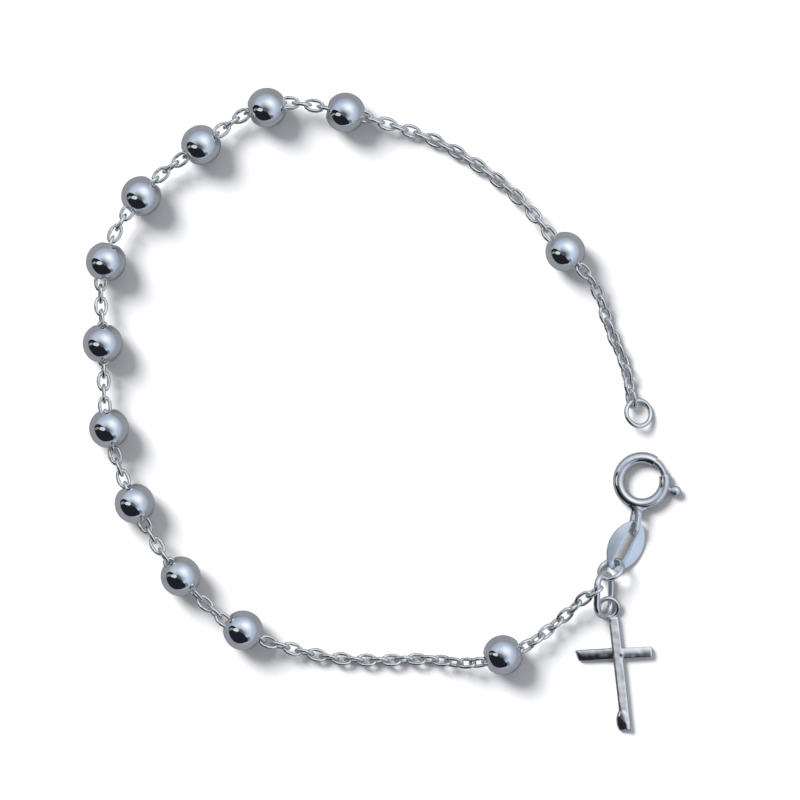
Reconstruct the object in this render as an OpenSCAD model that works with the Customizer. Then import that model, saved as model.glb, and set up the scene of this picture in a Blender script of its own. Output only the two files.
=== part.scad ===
// Rosary bracelet of sterling silver, lying open on a table.
// Cable chain carries ten decade beads between two lone beads. One end holds a plain ring,
// the other an oval ring with a small cross, a plate link and a spring ring clasp.
// X runs right, Y away and Z up. The origin is under the middle of the bracelet.

/* [Beads] */
// Diameter of every bead
bead_d = 4; // [3.4:0.1:4.6]
// Wall of the hollow beads
bead_wall = 0.3; // [0.2:0.05:0.5]
// Play between the chain and the drilled holes of a bead
bead_play = 0.17; // [0.1:0.01:0.24]

/* [Chain] */
// Outer length of an oval link
link_l = 2.08; // [1.96:0.02:2.3]
// Outer width of an oval link
link_w = 1.42; // [1.36:0.01:1.5]
// Diameter of the link wire
link_wire_d = 0.31; // [0.26:0.01:0.34]
// Play left between two links that are pulled straight
link_play = 0.2; // [0.16:0.01:0.26]
// Distance over which the chain sinks from a bead to the table
sink_run = 6.5; // [5:0.5:8]

/* [End ring] */
// Outer diameter of the ring at the free end
end_ring_d = 3.1; // [2.6:0.1:4]
// Diameter of its wire
end_ring_wire_d = 0.42; // [0.34:0.01:0.46]
// Lean of the end ring on the last link
end_ring_lean = 24; // [15:1:30]

/* [Spring ring clasp] */
// Outer diameter of the spring ring
clasp_d = 5.8; // [5.4:0.1:6.6]
// Diameter of its hollow tube
clasp_tube_d = 1.16; // [1.1:0.02:1.3]
// Diameter of the gate wire that slides in the tube
gate_d = 0.68; // [0.56:0.02:0.7]
// Play between the gate and the bore of the tube
gate_play = 0.06; // [0.04:0.01:0.08]
// Turn of the gate from shut to open
gate_turn = 46; // [40:1:48]
// Diameter of the thumb ball on the gate
thumb_d = 1.1; // [0.9:0.05:1.3]
// Diameter of the neck under the thumb ball
thumb_neck_d = 0.46; // [0.36:0.02:0.5]
// Length of the soldered eye, from the ring outwards
eye_l = 2.65; // [2.5:0.05:3]
// Height of the eye
eye_h = 1.7; // [1.5:0.05:1.8]
// Width of the strip that the eye is bent from
eye_w = 0.46; // [0.36:0.02:0.48]
// Thickness of that strip
eye_t = 0.3; // [0.24:0.02:0.32]

/* [Plate link] */
// Length of the plate link
plate_l = 5.5; // [5.3:0.1:6]
// Width of the plate link
plate_w = 3.56; // [3.3:0.02:3.8]
// Radius of its two ends
plate_tip_r = 1; // [0.8:0.05:1.3]
// Thickness of the plate link
plate_t = 0.25; // [0.2:0.01:0.28]
// Width of the slot
slot_w = 0.8; // [0.76:0.02:1]
// Metal left between the slot and each end
slot_land = 0.65; // [0.6:0.05:0.75]

/* [Rings] */
// Outer diameter of the round jump ring
jump_d = 2.95; // [2.8:0.05:3.2]
// Diameter of its wire
jump_wire_d = 0.38; // [0.32:0.01:0.4]
// Outer length of the oval ring that carries the cross
oval_l = 4.8; // [4.5:0.1:5.2]
// Outer width of the oval ring
oval_w = 3.1; // [2.9:0.1:3.4]
// Diameter of its wire
oval_wire_d = 0.52; // [0.44:0.01:0.54]

/* [Cross] */
// Length of the upright
upright_l = 11.4; // [9:0.1:13]
// Width of the upright
upright_w = 1.02; // [0.8:0.02:1.2]
// Thickness of the cross
cross_t = 0.8; // [0.6:0.05:1]
// Length of the bar
bar_l = 7.7; // [6:0.1:9]
// Width of the bar
bar_w = 1.12; // [0.8:0.02:1.3]
// Distance from the top of the upright to the middle of the bar
bar_down = 3.7; // [2.5:0.05:5]
// Diameter of the flared foot
foot_d = 1.4; // [1.1:0.05:1.7]
// Length of the flare
foot_l = 2; // [1:0.1:2.5]
// Outer diameter of the loop soldered to the top
loop_d = 2.5; // [2.4:0.05:2.8]
// Diameter of the loop's wire
loop_wire_d = 0.42; // [0.36:0.01:0.44]

/* [Hidden] */
$fn = 48;
silver = [0.80, 0.82, 0.86];
bright = [0.88, 0.90, 0.94];

// Route of the chain on the table, from the oval ring round to the end ring
route = [
  [21.6, -18], [20.4, -18.7], [17.7, -21.1], [15.2, -23.1], [12, -24.8],
  [9.2, -25.4], [4.2, -25.1], [-1.3, -25.2], [-5.4, -24.9], [-9.6, -23.9],
  [-14.1, -22.3], [-20.3, -16.8], [-24.9, -9.5], [-27.5, -2], [-28, 6.5],
  [-27.9, 14.7], [-24.3, 21.3], [-18.2, 26.3], [-11.7, 30.3], [-3.8, 29.6],
  [0.2, 28.5], [4.9, 26.9], [9.3, 24.4], [13.2, 21.3], [18.1, 15.6],
  [20.9, 12.6], [22.7, 7.8], [24.2, 4.1], [24.9, 0.4]
];
// Points of the route that carry a bead: the first lone bead, decade beads 10 to 1, the second lone bead
bead_points = [4, 10, 11, 12, 13, 14, 15, 16, 17, 18, 19, 24];
// Lean of each bead's hole along the chain, in degrees
bead_leans = [6, 9, 12, 10, 12, 11, 9, -12, -10, 5, -8, 9];
// Turn of the links about the chain: share of its length, degrees
twist = [
  [0, 72], [0.1, 44], [0.18, 14], [0.27, 22], [0.37, -6], [0.48, 12],
  [0.6, -12], [0.72, 8], [0.8, 16], [0.87, -8], [0.94, -30], [1, -50]
];

// Smallest gap between a piece and the table, and between pieces that touch
rest_gap = 0.02;
touch_gap = 0.08;
// Gap where a ring hangs in the last link at a slant
hook_gap = 0.21;
// Fall-off of a bead's lean along the chain, in bead diameters
lean_reach = 0.75;

function smooth(u) = let(v = min(max(u, 0), 1)) v * v * (3 - 2 * v);
function unit(v) = v / norm(v);
function heading(az, el = 0) = [cos(az) * cos(el), sin(az) * cos(el), sin(el)];
function sum(v) = v * [for (k = v) 1];

// A smooth curve through the route: each point's slope is shared between its two sides
last = len(route) - 1;
function side_len(i) = norm(route[i + 1] - route[i]);
function side_dir(i) = (route[i + 1] - route[i]) / side_len(i);
function slope(i) =
  i == 0 ? side_dir(0) :
  i == last ? side_dir(last - 1) :
  (side_dir(i - 1) * side_len(i) + side_dir(i) * side_len(i - 1)) / (side_len(i) + side_len(i - 1));
function curve(i, t) =
  let(a = t * t * (3 - 2 * t), b = t * (1 - t) * side_len(i))
  route[i] * (1 - a) + route[i + 1] * a + slope(i) * b * (1 - t) - slope(i + 1) * b * t;
steps = 14;
path = [for (i = [0:last - 1]) for (k = [0:steps - 1]) curve(i, k / steps), route[last]];
runs = [for (k = 0, d = 0; k < len(path); d = d + (k + 1 < len(path) ? norm(path[k + 1] - path[k]) : 0), k = k + 1) d];
x_table = [for (k = [0:len(path) - 1]) [runs[k], path[k].x]];
y_table = [for (k = [0:len(path) - 1]) [runs[k], path[k].y]];
chain_l = runs[len(runs) - 1];
bead_stations = [for (i = bead_points) runs[i * steps]];

// Links: an even number, pulled as straight as their play lets them
links = 2 * ceil(chain_l / (link_l - 2 * link_wire_d - link_play) / 2);
pitch = chain_l / links;
link_reach = link_l / 2 - link_wire_d;

// Where the two rings at the ends sit in the outer links, along the chain
oval_station = pitch / 2 - (link_reach - oval_wire_d / 2 - hook_gap);
ring_station = chain_l - pitch / 2 + (link_reach - end_ring_wire_d / 2 - hook_gap);

// Poses of the rings and the plate: azimuth, rise and roll of the long side, in degrees
oval_pose = [88.7, 5.4, 53];
jump_pose = [38.8, -10.4, -46.9];
plate_pose = [62, 0, 16.8];
loop_pose = [-83.5, -21, 0];
eye_az = 80.5;
eye_roll = 26;
ring_az = -60;

// Azimuths in which the jump ring, the plate and the cross's loop hang away from the piece before
jump_side = 31;
plate_side = 52;
loop_side = 58;
// How far the jump ring's wire and the eye's end lie inside the round ends of the slot
jump_inset = 0.18;
eye_inset = 0.36;
// How far the loop lies back on the oval ring's wire
loop_inset = 0.1;
// Where the chain hangs on the straight side of the oval ring, as a share of it
hook_share = 0.6;

// Centreline radii and half sizes
oval_half_l = (oval_l - oval_wire_d) / 2;
oval_half_w = (oval_w - oval_wire_d) / 2;
jump_r = (jump_d - jump_wire_d) / 2;
loop_r = (loop_d - loop_wire_d) / 2;
end_ring_r = (end_ring_d - end_ring_wire_d) / 2;
slot_half = plate_l / 2 - slot_land - slot_w / 2;

// Axes of a piece: its long side, its flat side and its face
function axes(pose) =
  let(
    long = heading(pose[0], pose[1]), flat = [-sin(pose[0]), cos(pose[0]), 0],
    side = flat * cos(pose[2]) + cross(long, flat) * sin(pose[2])
  )
  [long, side, cross(long, side)];
oval_axes = axes(oval_pose);
jump_axes = axes(jump_pose);
plate_axes = axes(plate_pose);
loop_axes = axes(loop_pose);
ring_axes = axes([ring_az, 0, -end_ring_lean]);

// Heights at which the rings rest on the table: a circle, drawn out by its straight sides if it is oval
function rest_z(r, wire_d, ax, straight = 0) =
  wire_d / 2 + rest_gap + r * norm([ax[0].z, ax[1].z]) + straight * abs(ax[0].z);
oval_z = rest_z(oval_half_w, oval_wire_d, oval_axes, oval_half_l - oval_half_w);
hook_run = (oval_half_l - oval_half_w) * hook_share;
hook_z = oval_z + oval_half_w * oval_axes[1].z + hook_run * oval_axes[0].z;
ring_z = rest_z(end_ring_r, end_ring_wire_d, ring_axes);
table_z = link_w / 2 + rest_gap;

// Height of the chain: held by the beads and end rings, sunk to the table between them
holds = concat(
  [[oval_station, hook_z, 0]],
  [for (s = bead_stations) [s, bead_d / 2, bead_d / 2]],
  [[ring_station, ring_z, 0]]
);
function hold_after(s, i = 1) = i == len(holds) - 1 || s < holds[i][0] ? i : hold_after(s, i + 1);
function sag_z(s) =
  let(
    b = hold_after(s), p = holds[b - 1], q = holds[b],
    from_p = s - p[0] - p[2], to_q = q[0] - q[2] - s,
    run = min((from_p + to_q) / 2, sink_run),
    low = table_z + ((p[1] + q[1]) / 2 - table_z) * (1 - pow(run / sink_run, 2))
  )
  from_p < to_q
    ? p[1] - (p[1] - low) * smooth(from_p / run)
    : q[1] - (q[1] - low) * smooth(to_q / run);
function lean_z(s) = sum([
  for (b = [0:len(bead_stations) - 1])
    let(d = s - bead_stations[b]) tan(bead_leans[b]) * d * exp(-pow(d / (lean_reach * bead_d), 2))
]);
function on_chain(s) = [lookup(s, x_table), lookup(s, y_table), max(sag_z(s) + lean_z(s), table_z)];

function flat_xy(v) = [v.x, v.y, 0];

// Places of the pieces at the clasp end, each hung on the one before. Reach is the distance from
// the middle of the jump ring to the wire or slot that it joins
hook = on_chain(oval_station);
oval_at = flat_xy(hook - oval_axes[1] * oval_half_w - oval_axes[0] * hook_run) + [0, 0, oval_z];
jump_reach = jump_r - (jump_wire_d + oval_wire_d) / 2 - touch_gap;
jump_at = flat_xy(oval_at + oval_axes[0] * oval_half_l + heading(jump_side) * jump_reach)
  + [0, 0, rest_z(jump_r, jump_wire_d, jump_axes)];
plate_reach = jump_r - jump_inset;
plate_at = flat_xy(jump_at + heading(plate_side) * plate_reach + plate_axes[0] * slot_half)
  + [0, 0, rest_gap + plate_w / 2 * sin(plate_pose[2]) + plate_t / 2];
eye_sink = 0.3;
eye_end = clasp_d / 2 + eye_l - eye_t / 2;
clasp_at = flat_xy(plate_at + plate_axes[0] * slot_half + heading(eye_az) * (eye_end - eye_inset))
  + [0, 0, clasp_tube_d / 2 + rest_gap];
loop_at = flat_xy(oval_at - oval_axes[0] * oval_half_l + heading(loop_side) * (loop_r - loop_inset))
  + [0, 0, rest_z(loop_r, loop_wire_d, loop_axes)];
ring_at = flat_xy(on_chain(ring_station) + ring_axes[0] * end_ring_r) + [0, 0, ring_z];

module put(at, ax) {
  multmatrix([
    [ax[0].x, ax[1].x, ax[2].x, at.x],
    [ax[0].y, ax[1].y, ax[2].y, at.y],
    [ax[0].z, ax[1].z, ax[2].z, at.z]
  ])
    children();
}

// A closed wire: a circle, or two half circles joined by straight sides
module wire_ring(d, wire_d) {
  rotate_extrude()
    translate([(d - wire_d) / 2, 0])
      circle(d = wire_d);
}

module wire_oval(l, w, wire_d) {
  for (turn = [0, 180])
    rotate([0, 0, turn]) {
      translate([(l - w) / 2, 0, 0])
        rotate([0, 0, -90])
          rotate_extrude(angle = 180)
            translate([(w - wire_d) / 2, 0])
              circle(d = wire_d);
      translate([-(l - w) / 2, (w - wire_d) / 2, 0])
        rotate([0, 90, 0])
          cylinder(d = wire_d, h = l - w);
    }
}

// One link of the chain, pointing along it and turned about it
module link(k) {
  s = (k + 0.5) * pitch;
  dir = unit(on_chain(s + link_reach) - on_chain(s - link_reach));
  az = atan2(dir.y, dir.x);
  roll = 90 * (k % 2) + lookup(s / chain_l, twist);
  put(on_chain(s), axes([az, asin(dir.z), roll]))
    wire_oval(link_l, link_w, link_wire_d);
}

module chain_lower() {
  color(silver)
    for (k = [0:links / 2 - 1])
      link(k);
}

module chain_upper() {
  color(silver)
    for (k = [links / 2:links - 1])
      link(k);
}

// Hollow bead, drilled through along the chain
module bead(n) {
  s = bead_stations[n];
  fore = on_chain(s + bead_d / 2);
  aft = on_chain(s - bead_d / 2);
  dir = unit(fore - aft);
  color(bright)
    put(flat_xy(fore + aft) / 2 + [0, 0, bead_d / 2], axes([atan2(dir.y, dir.x), asin(dir.z), 0]))
      difference() {
        sphere(d = bead_d);
        sphere(d = bead_d - 2 * bead_wall);
        rotate([0, 90, 0])
          cylinder(d = link_w + 2 * bead_play, h = bead_d + 1, center = true);
      }
}

module end_ring() {
  color(silver)
    put(ring_at, ring_axes)
      wire_ring(end_ring_d, end_ring_wire_d);
}

// Angles round the clasp, anticlockwise from the right: the tube's two ends, the gate and its thumb ball
tube_top = 56;
tube_foot = 14;
gate_top = tube_top + 5;
gate_foot = -30;
thumb_angle = -17;
clasp_r = (clasp_d - clasp_tube_d) / 2;
bore_d = gate_d + 2 * gate_play;
thumb_slot_w = thumb_neck_d + 2 * gate_play;
thumb_slot_end = asin(thumb_slot_w / 2 / clasp_r) + 2;
thumb_r = clasp_d / 2 + touch_gap + thumb_d / 2;

module arc_sweep(from, to) {
  rotate([0, 0, from])
    rotate_extrude(angle = to - from)
      translate([clasp_r, 0])
        children();
}

// The eye stands on edge, leaning a little, and points away from the ring
module eye() {
  run = eye_l + eye_sink - eye_h;
  rise = eye_h / 2 * cos(eye_roll) + eye_w / 2 * sin(eye_roll) - clasp_tube_d / 2;
  rotate([0, 0, eye_az - 180])
    translate([clasp_d / 2 - eye_sink + eye_h / 2, 0, rise])
      rotate([90 - eye_roll, 0, 0])
        linear_extrude(eye_w, center = true)
          difference() {
            union() {
              circle(d = eye_h);
              translate([run, 0]) circle(d = eye_h);
              translate([0, -eye_h / 2]) square([run, eye_h]);
            }
            circle(d = eye_h - 2 * eye_t);
            translate([run, 0]) circle(d = eye_h - 2 * eye_t);
            translate([0, eye_t - eye_h / 2]) square([run, eye_h - 2 * eye_t]);
          }
}

module clasp_tube() {
  color(silver)
    translate(clasp_at) {
      difference() {
        arc_sweep(tube_top, tube_foot + 360) circle(d = clasp_tube_d);
        arc_sweep(tube_top - 2, gate_top + 12) circle(d = bore_d);
        arc_sweep(gate_foot - gate_turn - 8, tube_foot + 2) circle(d = bore_d);
        arc_sweep(thumb_angle - gate_turn - thumb_slot_end, thumb_angle + thumb_slot_end)
          translate([0, -thumb_slot_w / 2])
            square([clasp_tube_d, thumb_slot_w]);
      }
      eye();
    }
}

module clasp_gate() {
  color(bright)
    translate(clasp_at) {
      arc_sweep(gate_foot, gate_top) circle(d = gate_d);
      rotate([0, 0, thumb_angle]) {
        translate([clasp_r, 0, 0])
          rotate([0, 90, 0])
            cylinder(d = thumb_neck_d, h = thumb_r - clasp_r);
        translate([thumb_r, 0, 0]) sphere(d = thumb_d);
      }
    }
}

// Flat plate with rounded tips and a long slot, its sides and tips drawn as true arcs
module plate_outline() {
  tip_x = plate_l / 2 - plate_tip_r;
  half_w = plate_w / 2;
  side_r = (half_w * half_w + tip_x * tip_x - plate_tip_r * plate_tip_r) / (half_w - plate_tip_r) / 2;
  // The side arc meets the tip arc here
  meet_x = tip_x * side_r / (side_r - plate_tip_r);
  intersection() {
    translate([0, half_w - side_r]) circle(r = side_r);
    translate([0, side_r - half_w]) circle(r = side_r);
    translate([-meet_x, -plate_w]) square([2 * meet_x, 2 * plate_w]);
  }
  for (x = [-tip_x, tip_x])
    translate([x, 0]) circle(r = plate_tip_r);
}

module plate_link() {
  color(bright)
    put(plate_at, plate_axes)
      translate([0, 0, -plate_t / 2])
        linear_extrude(plate_t)
          difference() {
            plate_outline();
            for (x = [-slot_half, slot_half])
              translate([x, 0]) circle(d = slot_w);
            translate([-slot_half, -slot_w / 2]) square([2 * slot_half, slot_w]);
          }
}

module jump_ring() {
  color(silver)
    put(jump_at, jump_axes)
      wire_ring(jump_d, jump_wire_d);
}

module oval_ring() {
  color(silver)
    put(oval_at, oval_axes)
      wire_oval(oval_l, oval_w, oval_wire_d);
}

// The cross lies flat and its loop leans up. The upright is soldered a little off the loop's middle
cross_shift = 0.4;
bar_shift = 0.35;
bar_turn = -3;
solder_d = 0.7;
edge = 0.16;

// Pale flat face with narrow bevels; the foot swells into half a cone on the left
module upright() {
  half_w = upright_w / 2;
  rotate([90, 0, 90])
    linear_extrude(upright_l)
      polygon([
        [-half_w, 0], [half_w, 0], [half_w, cross_t - edge],
        [half_w - edge, cross_t], [edge - half_w, cross_t], [-half_w, cross_t - edge]
      ]);
  intersection() {
    translate([upright_l - foot_l, (upright_w - foot_d) / 2, cross_t / 2])
      rotate([0, 90, 0]) {
        cylinder(d1 = upright_w / 2, d2 = foot_d, h = foot_l * 0.7);
        translate([0, 0, foot_l * 0.7]) cylinder(d = foot_d, h = foot_l * 0.3);
      }
    translate([upright_l - foot_l, -foot_d, 0]) cube([foot_l, 2 * foot_d, cross_t]);
  }
}

// Half-round bar, soldered across with a small bead of solder
module bar() {
  translate([bar_down, 0, 0])
    rotate([0, 0, bar_turn])
      intersection() {
        translate([0, bar_l / 2 - bar_shift, cross_t - bar_w / 2])
          rotate([90, 0, 0])
            cylinder(d = bar_w, h = bar_l);
        translate([-bar_w, -bar_l, 0]) cube([2 * bar_w, 2 * bar_l, cross_t]);
      }
}

module cross() {
  flat_axes = axes([loop_pose[0], 0, 0]);
  top = flat_xy(loop_at + loop_axes[0] * loop_r + loop_axes[1] * cross_shift);
  color(silver) {
    put(loop_at, loop_axes)
      wire_ring(loop_d, loop_wire_d);
    put(top + [0, 0, rest_gap], flat_axes) {
      upright();
      bar();
      translate([bar_down + bar_w / 3, upright_w / 2, cross_t - solder_d / 2]) sphere(d = solder_d);
    }
  }
}

chain_lower();
chain_upper();
bead(0);  // lone_bead_1
bead(1);  // bead_10
bead(2);  // bead_9
bead(3);  // bead_8
bead(4);  // bead_7
bead(5);  // bead_6
bead(6);  // bead_5
bead(7);  // bead_4
bead(8);  // bead_3
bead(9);  // bead_2
bead(10);  // bead_1
bead(11);  // lone_bead_2
end_ring();
clasp_tube();
clasp_gate();
plate_link();
jump_ring();
oval_ring();
cross();
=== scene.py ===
import math

import bmesh
import bpy
import numpy as np
from mathutils import Matrix, Vector


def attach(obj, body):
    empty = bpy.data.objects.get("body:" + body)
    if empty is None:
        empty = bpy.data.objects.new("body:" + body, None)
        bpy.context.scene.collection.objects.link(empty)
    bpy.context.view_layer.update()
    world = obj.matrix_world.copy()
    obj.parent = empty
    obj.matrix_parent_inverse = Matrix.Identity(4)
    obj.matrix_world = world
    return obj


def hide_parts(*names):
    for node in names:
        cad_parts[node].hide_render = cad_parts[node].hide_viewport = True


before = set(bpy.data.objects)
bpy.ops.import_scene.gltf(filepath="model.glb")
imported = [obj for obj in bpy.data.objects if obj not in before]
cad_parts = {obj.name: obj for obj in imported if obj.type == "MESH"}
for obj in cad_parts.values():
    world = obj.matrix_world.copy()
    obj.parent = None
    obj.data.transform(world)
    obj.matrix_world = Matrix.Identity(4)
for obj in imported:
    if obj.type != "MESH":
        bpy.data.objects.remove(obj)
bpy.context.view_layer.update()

MM = 0.001
same_spot = 0.001 * MM
link_long = 2.08 * MM
link_wide = 1.42 * MM
link_wire = 0.37 * MM
link_seam = 0.09 * MM
# The straight sides draw in towards the ends: from this distance, to this one, to this part of the width.
link_shoulders = (0.25 * MM, 0.6 * MM, 0.93), (0.6 * MM, 0.88 * MM, 0.87)


def deselect():
    if bpy.context.object and bpy.context.object.mode == "EDIT":
        bpy.ops.object.mode_set(mode="OBJECT")
    bpy.ops.object.select_all(action="DESELECT")


def pick(piece, kind, test):
    """In edit mode, selects the vertices, edges or faces whose middle passes the test."""
    bpy.ops.mesh.select_mode(type={"verts": "VERT", "edges": "EDGE", "faces": "FACE"}[kind])
    shape = bmesh.from_edit_mesh(piece.data)
    for part in (*shape.faces, *shape.edges, *shape.verts):
        part.select = False
    for part in getattr(shape, kind):
        corners = [part.co] if kind == "verts" else [v.co for v in part.verts]
        if test(sum(corners, Vector()) / len(corners)):
            part.select_set(True)
    shape.select_flush_mode()
    bmesh.update_edit_mesh(piece.data)


def pick_all():
    bpy.ops.mesh.select_all(action="SELECT")


def smooth(crease):
    """Shades the active piece smooth, but for edges that bend by more than the crease in degrees."""
    bpy.ops.object.shade_smooth_by_angle(angle=math.radians(crease))


def start_edit(name):
    piece = bpy.context.object
    piece.name = piece.data.name = name
    bpy.ops.object.transform_apply(location=True, rotation=True, scale=True)
    bpy.ops.object.mode_set(mode="EDIT")
    return piece


def finish_edit(crease=40):
    pick_all()
    bpy.ops.mesh.remove_doubles(threshold=same_spot)
    bpy.ops.mesh.normals_make_consistent(inside=False)
    bpy.ops.object.mode_set(mode="OBJECT")
    smooth(crease)


def turn(degrees):
    """Turns the selection round Z, anticlockwise from above. The operator counts the other way."""
    bpy.ops.transform.rotate(
        value=-math.radians(degrees), orient_axis="Z", center_override=(0, 0, 0)
    )


def slice_at(at, facing=(1, 0, 0), trim=False):
    """Cuts the selection along a plane. To trim is to drop what the plane faces and close the cut."""
    bpy.ops.mesh.bisect(
        plane_co=at, plane_no=facing, clear_outer=trim, use_fill=trim, threshold=same_spot
    )


def oval_of_wire(name, long, wide, wire, around, sides):
    """A round ring of wire whose halves are pulled apart along X, which leaves straight sides.
    It is turned by half a step first, so that no corner lies where the halves part."""
    half_step = 180 / around
    deselect()
    bpy.ops.mesh.primitive_torus_add(
        major_segments=around, minor_segments=sides, minor_radius=wire / 2,
        major_radius=(wide - wire) / 2 / math.cos(math.radians(half_step)),
    )
    ring = start_edit(name)
    turn(half_step)
    for way in (-1, 1):
        pick(ring, "verts", lambda p: p.x * way > 0)
        bpy.ops.transform.translate(value=(way * (long - wide) / 2, 0, 0))
    return ring


def solder_seam(piece, half, swell):
    """A soldered joint across the straight side at +Y: a short swelling of the wire."""
    for x in (-half, 0, half):
        pick(piece, "faces", lambda p: p.y > 0 and abs(p.x) < 3 * half)
        slice_at((x, 0, 0))
    pick(piece, "verts", lambda p: p.y > 0 and abs(p.x) < half / 2)
    bpy.ops.transform.resize(value=(1, swell, swell))


def copy_to(model, name, pose):
    """A copy of a model with its own mesh, moved to its place."""
    piece = model.copy()
    piece.data = model.data.copy()
    piece.name = piece.data.name = name
    piece.data.transform(pose)
    bpy.context.collection.objects.link(piece)
    return piece


def join(pieces, name):
    deselect()
    for piece in pieces:
        piece.select_set(True)
    bpy.context.view_layer.objects.active = pieces[0]
    bpy.ops.object.join()
    pieces[0].name = pieces[0].data.name = name
    return pieces[0]


def loose_solids(node):
    """Merged copies of a CAD node's solids, one object for each."""
    deselect()
    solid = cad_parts[node].copy()
    solid.data = solid.data.copy()
    solid.parent = None
    solid.matrix_world = Matrix()
    bpy.context.collection.objects.link(solid)
    solid.select_set(True)
    bpy.context.view_layer.objects.active = solid
    bpy.ops.object.mode_set(mode="EDIT")
    pick_all()
    bpy.ops.mesh.remove_doubles(threshold=same_spot / 10)
    bpy.ops.mesh.separate(type="LOOSE")
    bpy.ops.object.mode_set(mode="OBJECT")
    return list(bpy.context.selected_objects)


def seat(solid, towards=(0.3, 1, 0.1), along=None):
    """Where a solid lies: a matrix whose axes are those along which it spreads most, less and least.
    Its longest side points towards a given way. A round ring has none, so along turns its first axis."""
    mesh = solid.data
    mesh.calc_loop_triangles()
    spots = np.empty(len(mesh.vertices) * 3)
    mesh.vertices.foreach_get("co", spots)
    corners = np.empty(len(mesh.loop_triangles) * 3, np.int32)
    mesh.loop_triangles.foreach_get("vertices", corners)
    tri = spots.reshape(-1, 3)[corners.reshape(-1, 3)]
    area = np.linalg.norm(np.cross(tri[:, 1] - tri[:, 0], tri[:, 2] - tri[:, 0]), axis=1)
    mids = tri.mean(1)
    centre = (mids * area[:, None]).sum(0) / area.sum()
    off = mids - centre
    spread = np.linalg.eigh((off * area[:, None]).T @ off)[1].T[::-1]
    longest, up = Vector(spread[0]), Vector(spread[2])
    if up.z < 0:
        up = -up
    if along:
        longest = (Vector(along) - up * up.dot(Vector(along))).normalized()
    elif longest.dot(Vector(towards)) < 0:
        longest = -longest
    turned = Matrix((longest, up.cross(longest), up)).transposed().to_4x4()
    return Matrix.Translation(centre) @ turned


def polished_silver(name, colour, shine, cloud, hairline, uneven=0):
    """Sterling silver, polished: the shine is a little cloudy and has hairlines from the buffing wheel.
    What was cast or bent by hand is also a little uneven, by the given height."""
    finish = bpy.data.materials.new(name)
    finish.use_nodes = True
    tree = finish.node_tree

    def node(kind, **settings):
        """A new node. A setting that names an input, with _ for a blank, becomes its value."""
        made = tree.nodes.new(kind)
        for key, value in settings.items():
            title = key.replace("_", " ")
            if title in made.inputs:
                made.inputs[title].default_value = value
            else:
                setattr(made, key, value)
        return made

    metal = tree.nodes["Principled BSDF"]
    metal.inputs["Metallic"].default_value = 1
    place = node("ShaderNodeTexCoord")

    tarnish = node("ShaderNodeTexNoise", Scale=420, Detail=3, Roughness=0.55)
    patches = node("ShaderNodeMapRange", From_Min=0.35, From_Max=0.6)
    tone = node(
        "ShaderNodeMix", data_type="RGBA", A=(*(c * 0.9 for c in colour), 1), B=(*colour, 1)
    )

    grain = node("ShaderNodeTexNoise", Scale=2600, Detail=4, Roughness=0.6)
    gloss = node(
        "ShaderNodeMapRange", From_Min=0.3, From_Max=0.7, To_Min=shine, To_Max=shine + cloud
    )

    waves = node("ShaderNodeTexNoise", Scale=750, Detail=1, Roughness=0.4)
    swell = node("ShaderNodeBump", Strength=1, Distance=uneven)
    drawn_out = node("ShaderNodeMapping", Rotation=(0.4, 0.2, 0.9), Scale=(1, 14, 1))
    lines = node("ShaderNodeTexNoise", Scale=900, Detail=2, Roughness=0.5)
    scratches = node("ShaderNodeBump", Strength=hairline, Distance=0.004 * MM)

    for source, output, target, socket in (
        (place, "Object", tarnish, "Vector"), (place, "Object", grain, "Vector"),
        (place, "Object", waves, "Vector"), (place, "Object", drawn_out, "Vector"),
        (tarnish, "Fac", patches, "Value"), (patches, "Result", tone, "Factor"),
        (tone, "Result", metal, "Base Color"),
        (grain, "Fac", gloss, "Value"), (gloss, "Result", metal, "Roughness"),
        (waves, "Fac", swell, "Height"), (drawn_out, "Vector", lines, "Vector"),
        (lines, "Fac", scratches, "Height"), (swell, "Normal", scratches, "Normal"),
        (scratches, "Normal", metal, "Normal"),
    ):
        tree.links.new(source.outputs[output], target.inputs[socket])
    return finish


def dress(piece, node, finish, body="bracelet"):
    """Gives a finished piece its silver and lets it stand for its CAD node."""
    piece.data.materials.clear()
    piece.data.materials.append(finish)
    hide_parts(node)
    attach(piece, body)


chain_silver = polished_silver(
    "chain_silver", (0.96, 0.95, 0.92), shine=0.07, cloud=0.07, hairline=0.25, uneven=0.03 * MM
)

link = oval_of_wire("link_model", link_long, link_wide, link_wire, around=24, sides=8)
solder_seam(link, link_seam, 1.08)
pick(link, "faces", lambda p: p.y < 0 and abs(p.x) < 2 * link_seam)
slice_at((0, 0, 0))
for inner, outer, narrower in link_shoulders:
    pick(link, "verts", lambda p: inner < abs(p.x) < outer)
    bpy.ops.transform.resize(value=(1, narrower, 1), center_override=(0, 0, 0))
finish_edit(60)

for run in ("chain_lower", "chain_upper"):
    solids = loose_solids(run)
    poses = [seat(solid) for solid in solids]
    for solid in solids:
        bpy.data.objects.remove(solid)
    links = join([copy_to(link, "link", pose) for pose in poses], f"{run}_links")
    dress(links, run, chain_silver)
bpy.data.objects.remove(link)

# Beads: hollow 4 mm balls of sheet silver, pressed in two halves, soldered and polished, then drilled
# right through. The chain runs loosely through the hole, which has a slightly rounded lip. Ten make the
# decade and two stand alone near the ends.
bead_r = 2 * MM
bead_wall = 0.3 * MM
bead_lip = 0.045 * MM
bead_rings = 48
hole_rings = 7
bead_silver = polished_silver("bead_silver", (0.93, 0.94, 0.96), shine=0.045, cloud=0.04, hairline=0.08)


def apply(piece, kind, **settings):
    deselect()
    piece.select_set(True)
    bpy.context.view_layer.objects.active = piece
    step = piece.modifiers.new(kind.title(), kind)
    for key, value in settings.items():
        setattr(step, key, value)
    bpy.ops.object.modifier_apply(modifier=step.name)


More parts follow.
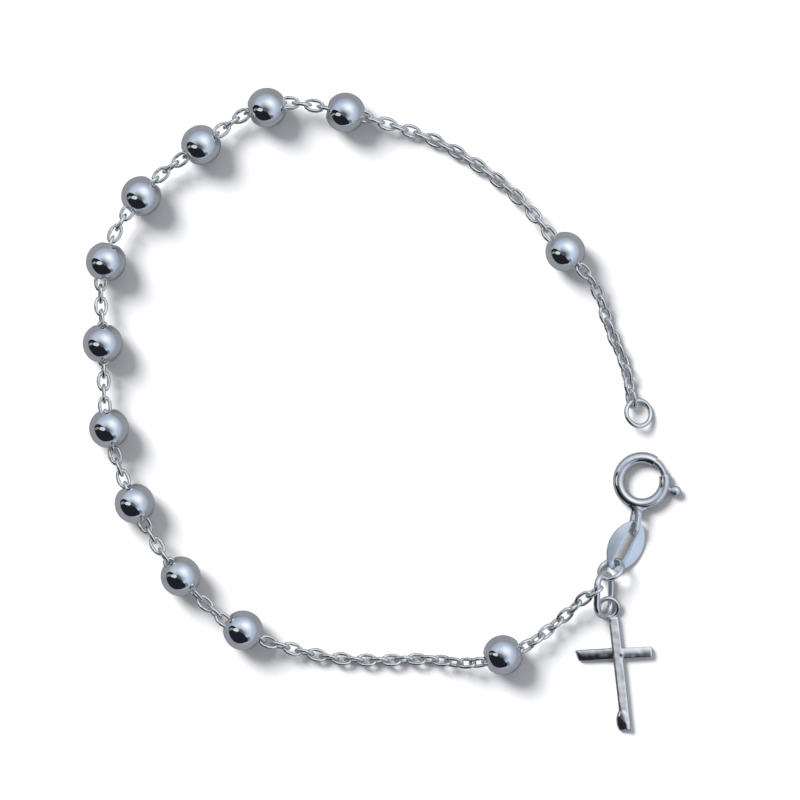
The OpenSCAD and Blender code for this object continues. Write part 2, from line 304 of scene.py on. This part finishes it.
def soften(piece, width, segments, sharper):
    """Rounds the edges that bend by more than the given degrees."""
    limit = math.radians(sharper)
    apply(piece, "BEVEL", width=width, segments=segments, limit_method="ANGLE", angle_limit=limit)


def seat_of(node_name, **hints):
    solid, = loose_solids(node_name)
    pose = seat(solid, **hints)
    bpy.data.objects.remove(solid)
    return pose


deselect()
bpy.ops.mesh.primitive_uv_sphere_add(segments=64, ring_count=bead_rings, radius=bead_r)
bead = start_edit("bead_model")
hole_z = bead_r * math.cos(math.pi * hole_rings / bead_rings)
pick(bead, "faces", lambda p: abs(p.z) > hole_z)
bpy.ops.mesh.delete(type="FACE")
finish_edit()
apply(bead, "SOLIDIFY", thickness=bead_wall, offset=-1)
soften(bead, bead_lip, 3, sharper=40)
smooth(50)

decade = [f"bead_{n}" for n in range(1, 11)]
for node_name in decade + ["lone_bead_1", "lone_bead_2"]:
    ball = copy_to(bead, f"{node_name}_ball", seat_of(node_name))
    dress(ball, node_name, bead_silver)
bpy.data.objects.remove(bead)

# End ring: a plain closed ring of round wire on the last link, for the clasp to close on. Its soldered
# joint shows as a slight swelling in the wire.
end_outer = 3.1 * MM
end_wire = 0.46 * MM
fittings_silver = polished_silver(
    "fittings_silver", (0.94, 0.95, 0.95), shine=0.07, cloud=0.06, hairline=0.15, uneven=0.04 * MM
)


def round_ring(name, outer, wire, seam=1.08):
    """A closed ring of round wire with its soldered joint at +Y."""
    deselect()
    bpy.ops.mesh.primitive_torus_add(
        major_segments=72, minor_segments=18, major_radius=(outer - wire) / 2, minor_radius=wire / 2
    )
    ring = start_edit(name)
    pick(ring, "verts", lambda p: p.y > 0 and abs(p.x) < wire / 9)
    bpy.ops.transform.resize(value=(1, seam, seam))
    finish_edit(60)
    return ring


end_ring = round_ring("end_ring_wire", end_outer, end_wire)
end_ring.data.transform(seat_of("end_ring", towards=(-0.4, 0.7, 0)))
dress(end_ring, "end_ring", fittings_silver)

# Oval ring: the heaviest wire of the bracelet, bent to an oval and soldered. The first link of the
# chain, the jump ring and the loop of the cross all hang in it.
oval_long = 4.8 * MM
oval_wide = 3.1 * MM
oval_wire = 0.65 * MM
oval_seam = 0.14 * MM

oval = oval_of_wire("oval_ring_wire", oval_long, oval_wide, oval_wire, around=72, sides=20)
solder_seam(oval, oval_seam, 1.05)
finish_edit(60)
oval.data.transform(seat_of("oval_ring"))
dress(oval, "oval_ring", fittings_silver)

# Jump ring: a thin round ring, bent shut and left unsoldered, so a hairline cut shows between its ends.
# It joins the oval ring to the plate link.
jump_outer = 2.95 * MM
jump_wire = 0.47 * MM
jump_cut = 2


def spin(degrees, steps):
    """Spins the selection round Z, anticlockwise from above. The operator counts the other way."""
    bpy.ops.mesh.spin(steps=steps, angle=-math.radians(degrees), center=(0, 0, 0), axis=(0, 0, 1))


def spun_wire(name, radius, wire, start, sweep, step=4):
    """Round wire bent along part of a circle round Z, its two ends filed flat."""
    deselect()
    bpy.ops.mesh.primitive_circle_add(vertices=18, radius=wire / 2, rotation=(math.pi / 2, 0, 0))
    bent = start_edit(name)
    bpy.ops.transform.translate(value=(radius, 0, 0))
    turn(start)
    pick_all()
    spin(sweep, round(sweep / step))
    for end in (start, start + sweep):
        outward = Vector((math.cos(math.radians(end)), math.sin(math.radians(end)), 0))
        across = Vector((-outward.y, outward.x, 0))
        pick(bent, "verts", lambda p: abs(p.dot(across)) < same_spot and p.dot(outward) > 0)
        bpy.ops.mesh.edge_face_add()
    finish_edit(60)
    return bent


jump = spun_wire(
    "jump_ring_wire", (jump_outer - jump_wire) / 2, jump_wire, 90 + jump_cut / 2, 360 - jump_cut
)
jump.data.transform(seat_of("jump_ring", along=(0.2, -1, 0)))
dress(jump, "jump_ring", fittings_silver)

# Plate link: a pointed oval stamped from thin sheet with a long slot, tumbled so that its rim is soft.
# The eye of the clasp and the jump ring pass through the slot.
plate_rim = 0.05 * MM
plate_silver = polished_silver(
    "plate_silver", (0.90, 0.92, 0.96), shine=0.06, cloud=0.05, hairline=0.2, uneven=0.02 * MM
)

plate, = loose_solids("plate_link")
plate.name = plate.data.name = "plate_link_sheet"
apply(plate, "DECIMATE", decimate_type="DISSOLVE", angle_limit=math.radians(1))
soften(plate, plate_rim, 3, sharper=50)
smooth(25)
dress(plate, "plate_link", plate_silver)

# Spring ring clasp, the tube: thin silver tube bent to a ring with a gap, slotted on its outer side for
# the thumb ball, and an eye of flat strip soldered to it with a full fillet. Its ends are open where the
# gate slides.
clasp_at = Vector((25.8533, -7.2465, 0.6)) * MM
clasp_r = 2.32 * MM
tube_d = 1.16 * MM
tube_wall = 0.18 * MM
tube_from, tube_sweep = 56, 318
slot_from, slot_to = -72, -9
slot_wide = 0.58 * MM
eye_long, eye_high, eye_wide, eye_thick = 2.65 * MM, 1.7 * MM, 0.46 * MM, 0.3 * MM
eye_root = 0.3 * MM
eye_from = 2.6 * MM
eye_lift = 0.2848 * MM
eye_lean = math.radians(26)
eye_way = math.radians(-99.5)
fillet_from = 2.3 * MM
fillet_lift = 0.27 * MM
# The fillet runs out in steps: how far each goes, and how much narrower it ends.
fillet_steps = (
    (0.4 * MM, 0.84), (0.15 * MM, 0.78), (0.15 * MM, 0.78), (0.2 * MM, 0.84), (0.25 * MM, 0.84)
)


def extrude(x, y, z):
    bpy.ops.mesh.extrude_region_move(TRANSFORM_OT_translate={"value": (x, y, z)})


def in_slot(p):
    way = math.degrees(math.atan2(p.y, p.x))
    return slot_from < way < slot_to and p.xy.length > clasp_r and abs(p.z) < slot_wide / 2


deselect()
bpy.ops.mesh.primitive_circle_add(vertices=24, radius=tube_d / 2, rotation=(math.pi / 2, 0, 0))
tube = start_edit("clasp_tube_ring")
bpy.ops.transform.translate(value=(clasp_r, 0, 0))
turn(tube_from)
spin(tube_sweep, round(tube_sweep / 3))
pick(tube, "faces", in_slot)
bpy.ops.mesh.delete(type="FACE")
finish_edit(60)
apply(tube, "SOLIDIFY", thickness=tube_wall, offset=-1)
soften(tube, 0.04 * MM, 2, sharper=50)

eye_steps = 48
deselect()
bpy.ops.mesh.primitive_circle_add(vertices=eye_steps, radius=eye_high / 2)
eye = start_edit("clasp_eye")
turn(180 / eye_steps)
pick(eye, "verts", lambda p: p.x > 0)
bpy.ops.transform.translate(value=(eye_long + eye_root - eye_high, 0, 0))
pick_all()
bpy.ops.transform.translate(value=(0, 0, -eye_wide / 2))
extrude(0, 0, eye_wide)
finish_edit(40)
apply(eye, "SOLIDIFY", thickness=eye_thick, offset=-1)
soften(eye, 0.07 * MM, 3, sharper=50)
eye.data.transform(
    Matrix.Rotation(eye_way, 4, "Z")
    @ Matrix.Translation((eye_from + eye_high / 2, 0, eye_lift))
    @ Matrix.Rotation(math.pi / 2 - eye_lean, 4, "X")
)

deselect()
bpy.ops.mesh.primitive_circle_add(
    vertices=32, radius=1 * MM, fill_type="NGON", rotation=(0, math.pi / 2, 0)
)
fillet = start_edit("clasp_fillet")
bpy.ops.transform.resize(value=(1, 1.15, 0.26))
bpy.ops.transform.translate(value=(fillet_from, 0, fillet_lift))
for outward, narrower in fillet_steps:
    extrude(outward, 0, 0)
    bpy.ops.transform.resize(value=(1, narrower, 0.97), center_override=(0, 0, fillet_lift))
finish_edit(60)
fillet.data.transform(Matrix.Rotation(eye_way, 4, "Z"))

clasp_tube = join([tube, eye, fillet], "clasp_tube_ring")
smooth(40)
clasp_tube.data.transform(Matrix.Translation(clasp_at))
dress(clasp_tube, "clasp_tube", fittings_silver)

# Spring ring clasp, the gate: a wire that slides in the tube against a coiled spring, with a small
# flattened ball on a neck for the thumbnail. It closes the gap of the ring.
gate_d = 0.68 * MM
gate_from, gate_sweep = -30, 91
thumb_r = 0.55 * MM
thumb_rings = 24
neck_rings = 3
neck_long = 0.5 * MM
thumb_out = 3.53 * MM
thumb_way = math.radians(-17)
gate_silver = polished_silver(
    "gate_silver", (0.90, 0.92, 0.95), shine=0.22, cloud=0.1, hairline=0.2, uneven=0.02 * MM
)

gate_wire = spun_wire("gate_wire", clasp_r, gate_d, gate_from, gate_sweep, step=3.5)
soften(gate_wire, 0.08 * MM, 2, sharper=60)

deselect()
bpy.ops.mesh.primitive_uv_sphere_add(segments=32, ring_count=thumb_rings, radius=thumb_r)
thumb = start_edit("gate_thumb")
neck_z = -thumb_r * math.cos(math.pi * neck_rings / thumb_rings)
pick(thumb, "verts", lambda p: p.z < neck_z - same_spot)
bpy.ops.mesh.delete(type="VERT")
pick(thumb, "verts", lambda p: p.z < neck_z + same_spot)
extrude(0, 0, -0.03 * MM)
bpy.ops.transform.resize(value=(1.15, 1.15, 1))
extrude(0, 0, -neck_long)
bpy.ops.mesh.edge_face_add()
pick(thumb, "verts", lambda p: p.z > neck_z + 0.05 * MM)
bpy.ops.transform.resize(value=(0.72, 1, 1))
finish_edit(50)
thumb.data.transform(
    Matrix.Rotation(thumb_way, 4, "Z") @ Matrix.Translation((thumb_out, 0, 0))
    @ Matrix.Rotation(math.pi / 2, 4, "Y")
)

gate = join([gate_wire, thumb], "clasp_gate_wire")
smooth(50)
gate.data.transform(Matrix.Translation(clasp_at))
dress(gate, "clasp_gate", gate_silver, body="gate")

# Cross: cast in one, with a flat-faced upright, a bar with round shoulders set across it with a little
# spare solder, and a foot that swells to the left. The bar's left arm leans forward a little. A wire
# loop is soldered to its top and leans up into the oval ring.
upright_long, upright_wide, cross_thick = 11.4 * MM, 1.02 * MM, 0.8 * MM
upright_drop = 0.11 * MM
upright_edge = 0.17 * MM
foot_from, foot_to, foot_cut = 9.5 * MM, 10.8 * MM, 0.42 * MM
foot_at = 10.5 * MM, -0.19 * MM, 0.35 * MM
bar_at, bar_wide, bar_r = 3.7 * MM, 1.05 * MM, 1.5 * MM
bar_from, bar_to = -4.55 * MM, 3.85 * MM
bar_left, bar_right, bar_under, bar_top = -4.15 * MM, 3.5 * MM, 0.02 * MM, 0.72 * MM
arm_root = 0.45 * MM
arm_drop = 0.1 * MM
solder_at = 3.8 * MM, 0.4 * MM, 0.47 * MM
grain_size = 0.036 * MM
cross_at = Vector((23.0066, -20.8611, 0.02)) * MM
cross_way = Matrix.Rotation(math.radians(-83.5), 4, "Z")
loop_at = Vector((22.4993, -19.9417, 0.6027)) * MM
loop_outer, loop_wire = 2.5 * MM, 0.5 * MM
loop_lean = math.radians(21)
cross_silver = polished_silver(
    "cross_silver", (0.955, 0.935, 0.95), shine=0.11, cloud=0.08, hairline=0.25, uneven=0.1 * MM
)


def trim_at(*cuts):
    """Trims the whole mesh at each plane, which is given by a point and the way that it faces."""
    for at, facing in cuts:
        pick_all()
        slice_at(at, facing, trim=True)


deselect()
bpy.ops.mesh.primitive_cube_add(size=1)
upright = start_edit("cross_upright")
bpy.ops.transform.resize(value=(upright_long, upright_wide, cross_thick))
bpy.ops.transform.translate(value=(upright_long / 2, 0, cross_thick / 2))
pick(upright, "verts", lambda p: p.z > 0.7 * cross_thick and p.y > 0)
bpy.ops.transform.translate(value=(0, 0, -upright_drop))
pick(upright, "edges", lambda p: p.z > 0.7 * cross_thick and abs(p.y) > upright_wide / 4)
bpy.ops.mesh.bevel(offset=upright_edge, segments=3, profile=0.5)
for along in (foot_from, foot_to):
    pick_all()
    slice_at((along, 0, 0))
pick(upright, "verts", lambda p: p.x > foot_to - same_spot and p.y < 0)
bpy.ops.transform.translate(value=(0, foot_cut, 0))
finish_edit(30)

deselect()
bpy.ops.mesh.primitive_cylinder_add(
    vertices=160, radius=bar_r, depth=bar_to - bar_from, rotation=(math.pi / 2, 0, 0)
)
bar = start_edit("cross_bar")
bpy.ops.transform.translate(value=(0, (bar_from + bar_to) / 2, bar_top - bar_r))
trim_at(
    ((bar_wide / 2, 0, 0), (1, 0, 0)),
    ((-bar_wide / 2, 0, 0), (-1, 0, 0)),
    ((0, 0, bar_under), (0, 0, -1)),
    ((0, bar_left, 0), (0.25, -1, 0.2)),
    ((0, bar_left + 0.2 * MM, 0.8 * cross_thick), (0.1, -0.5, 0.85)),
    ((0, bar_right, 0), (0, 1, 0)),
)
pick(bar, "edges", lambda p: p.y > bar_right - same_spot and p.z > 0.05 * MM)
bpy.ops.mesh.bevel(offset=0.2 * MM, segments=3)
for root in (-arm_root, arm_root):
    pick_all()
    slice_at((0, root, 0), (0, 1, 0))
pick(bar, "verts", lambda p: p.y < 0)
bpy.ops.transform.rotate(
    value=math.radians(-9), orient_axis="Y", center_override=(0, 0, 0.75 * cross_thick)
)
pick(bar, "verts", lambda p: p.z > 2 * arm_drop and p.y < -2 * arm_root)
bpy.ops.transform.translate(value=(0, 0, -arm_drop))
trim_at(((0, 0, bar_under), (0, 0, -1)))
pick_all()
turn(-3)
bpy.ops.transform.translate(value=(bar_at, 0, 0))
finish_edit(30)

deselect()
bpy.ops.mesh.primitive_uv_sphere_add(
    segments=40, ring_count=30, radius=1 * MM, scale=(1.35, 0.72, 0.42),
    location=foot_at, rotation=(0, math.radians(10), 0),
)
foot = start_edit("cross_foot")
trim_at(((upright_long, 0, 0), (1, 0, 0)), ((0, 0, 0), (0, 0, -1)))
finish_edit(30)

deselect()
bpy.ops.mesh.primitive_uv_sphere_add(segments=24, ring_count=16, radius=1 * MM)
solder = start_edit("cross_solder")
bpy.ops.transform.resize(value=(0.38, 0.36, 0.3))
bpy.ops.transform.translate(value=solder_at)
finish_edit(60)

cast = join([upright, bar, foot, solder], "cross_casting")
apply(cast, "REMESH", mode="VOXEL", voxel_size=grain_size)
apply(cast, "SMOOTH", factor=0.5, iterations=4)
bpy.ops.object.mode_set(mode="EDIT")
for worn in (
    lambda p: p.x > 8.6 * MM,
    lambda p: p.x < 0.6 * MM,
    lambda p: p.y < -3.6 * MM,
    lambda p: (p - Vector((3.8, 0.4, 0.7)) * MM).length < 0.6 * MM,
):
    pick(cast, "verts", worn)
    bpy.ops.mesh.vertices_smooth(factor=0.5, repeat=30)
bpy.ops.object.mode_set(mode="OBJECT")
cast.data.transform(Matrix.Translation(cross_at) @ cross_way)

loop = round_ring("cross_loop", loop_outer, loop_wire)
loop.data.transform(Matrix.Translation(loop_at) @ cross_way @ Matrix.Rotation(loop_lean, 4, "Y"))
cross = join([cast, loop], "cross_casting")
smooth(40)
dress(cross, "cross", cross_silver)

# The table: plain white paper. Just over it lies a grey sheet that only reflections see, because the
# polished metal should mirror a duller table than the bright paper. The sheet glows a little: a painted
# reflection.
table_size = 1.2
sheet_lift = 0.002 * MM


def plain(name, colour, glow=0.0):
    surface = bpy.data.materials.new(name)
    surface.use_nodes = True
    inputs = surface.node_tree.nodes["Principled BSDF"].inputs
    inputs["Base Color"].default_value = (*colour, 1)
    inputs["Roughness"].default_value = 0.9
    inputs["Specular IOR Level"].default_value = 0
    inputs["Emission Color"].default_value = (*colour, 1)
    inputs["Emission Strength"].default_value = glow
    return surface


def only_reflected(thing):
    thing.visible_camera = False
    thing.visible_diffuse = False
    thing.visible_shadow = False
    thing.visible_transmission = False


def lay_sheet(name, lift, finish):
    bpy.ops.mesh.primitive_plane_add(size=table_size, location=(0, 0, lift))
    sheet = bpy.context.object
    sheet.name = name
    sheet.data.materials.append(finish)
    return sheet


paper = lay_sheet("table_paper", 0, plain("table_paper", (0.71, 0.66, 0.61)))
paper.visible_glossy = False
# Painted reflection: a faintly glowing grey sheet that only the metal mirrors.
mirrored = plain("table_mirrored", (0.121, 0.119, 0.120), glow=0.85)
only_reflected(lay_sheet("table_mirrored", sheet_lift, mirrored))


# The room in the reflections: a dark shape at the lower left with small lights and hazy grey spots in
# it. Its outline is given as it shows on a ball seen from above, where the ball's radius is 1, and is
# thrown from there onto a dome round the bracelet. What lies in front has the smaller dome.
def room_card(name, outline, reach, colour):
    deselect()
    bpy.ops.mesh.primitive_circle_add(vertices=len(outline), fill_type="NGON")
    card = bpy.context.object
    card.name = name
    for corner, (x, y) in zip(card.data.vertices, outline):
        up = math.sqrt(1 - x * x - y * y)
        corner.co = Vector((2 * up * x, 2 * up * y, 2 * up * up - 1)) * reach
    surface = plain(name, (0, 0, 0), glow=1)
    surface.node_tree.nodes["Principled BSDF"].inputs["Emission Color"].default_value = (*colour, 1)
    card.data.materials.append(surface)
    only_reflected(card)


def spot(x, y, wide, high, lean=0, corners=12):
    """The outline of an oval spot."""
    c, s = math.cos(math.radians(lean)), math.sin(math.radians(lean))
    steps = [2 * math.pi * k / corners for k in range(corners)]
    rounds = [(math.cos(step) * wide / 2, math.sin(step) * high / 2) for step in steps]
    return [(x + u * c - v * s, y + u * s + v * c) for u, v in rounds]


room_card("room_dark", [
    (-0.70, -0.02), (-0.70, 0.10), (-0.58, 0.20), (-0.44, 0.17), (-0.32, 0.09), (-0.17, -0.02),
    (-0.03, -0.13), (0.06, -0.26), (0.13, -0.36), (0.22, -0.45), (0.19, -0.57), (0.06, -0.61),
    (-0.12, -0.64), (-0.30, -0.62), (-0.46, -0.53), (-0.60, -0.36), (-0.68, -0.18),
], 0.3, (0.014, 0.016, 0.021))
room_card("room_haze", spot(-0.15, -0.08, 0.3, 0.2, lean=-35), 0.25, (0.09, 0.11, 0.14))
room_card("room_edge", spot(0.24, -0.44, 0.2, 0.22, lean=20), 0.35, (0.2, 0.22, 0.25))
room_card("room_light", spot(-0.36, -0.03, 0.27, 0.18, lean=-8), 0.2, (0.72, 0.74, 0.75))
room_card("room_lamp", spot(-0.58, -0.03, 0.2, 0.17, lean=15), 0.21, (0.29, 0.28, 0.24))

# Studio light: a soft bluish sky, brightest a little up and right of the zenith and darker at the lower
# left, and a broad sun from the upper left that throws the shadows. The sky's places are given on the
# picture of a ball too, where the zenith is at 0 and the horizon at 0.7.
zenith = 0.62, 0.72, 0.87
horizon = 0.31, 0.345, 0.40
sky_glow = 0.42, 0.40, 0.32
sky = bpy.data.worlds.new("studio_sky")
sky.use_nodes = True
bpy.context.scene.world = sky
tree = sky.node_tree


def sky_node(kind, *inputs, **settings):
    """A new node whose inputs, in order, are linked to an output or set to a value."""
    made = tree.nodes.new(kind)
    for key, value in settings.items():
        setattr(made, key, value)
    for socket, source in zip(made.inputs, inputs):
        if hasattr(source, "is_output"):
            tree.links.new(source, socket)
        else:
            socket.default_value = source
    return made


def vector_node(operation, *inputs):
    return sky_node("ShaderNodeVectorMath", *inputs, operation=operation)


def near(x, y, reach):
    """1 at a point of the ball's picture, falling softly to 0 at the reach."""
    gap = vector_node("DISTANCE", flat, (x, y, 0)).outputs["Value"]
    fall = sky_node("ShaderNodeMapRange", gap, 0.0, reach, 1.0, 0.0, interpolation_type="SMOOTHSTEP")
    return fall.outputs["Result"]


way = sky_node("ShaderNodeTexCoord").outputs["Generated"]
halfway = vector_node("ADD", way, (0, 0, 1)).outputs[0]
on_ball = vector_node("NORMALIZE", halfway).outputs[0]
flat = vector_node("MULTIPLY", on_ball, (1, 1, 0)).outputs[0]

ramp = sky_node("ShaderNodeValToRGB", vector_node("LENGTH", flat).outputs["Value"])
stops = ramp.color_ramp.elements
for place, colour in (
    (0.0, zenith), (0.36, zenith), (0.5, (0.50, 0.585, 0.71)), (0.6, (0.445, 0.495, 0.60)), (0.7, horizon)
):
    stops.new(place).color = (*colour, 1)
stops.remove(stops[0])
stops[-1].color = (*horizon, 1)

dim = sky_node("ShaderNodeMath", near(-0.08, -0.12, 0.47), -0.95, 1.0, operation="MULTIPLY_ADD").outputs[0]
base = vector_node("SCALE", ramp.outputs["Color"])
tree.links.new(dim, base.inputs["Scale"])
bright = vector_node("SCALE", sky_glow)
tree.links.new(near(0.14, 0.2, 0.4), bright.inputs["Scale"])
both = vector_node("ADD", base.outputs[0], bright.outputs[0]).outputs[0]
tree.links.new(both, tree.nodes["Background"].inputs["Color"])

bpy.ops.object.light_add(type="SUN", rotation=(math.radians(51), 0, math.radians(-135)))
sun = bpy.context.object
sun.data.energy = 6.4
sun.data.color = (0.93, 1.0, 1.08)
sun.data.angle = math.radians(30)
sun.visible_glossy = False

# Camera: straight above the middle of the picture, 0.1 mm to a pixel over the beads' middles, as the
# photograph was taken.
picture_wide = 80 * MM
camera_high = 0.8
bpy.ops.object.camera_add(location=(1.65 * MM, 0.85 * MM, camera_high))
camera = bpy.context.object
camera.data.sensor_width = 36
camera.data.lens = camera.data.sensor_width * (camera_high - 1 * MM) / picture_wide
camera.data.clip_end = 10
bpy.context.scene.camera = camera
bpy.context.scene.view_settings.view_transform = "Standard"
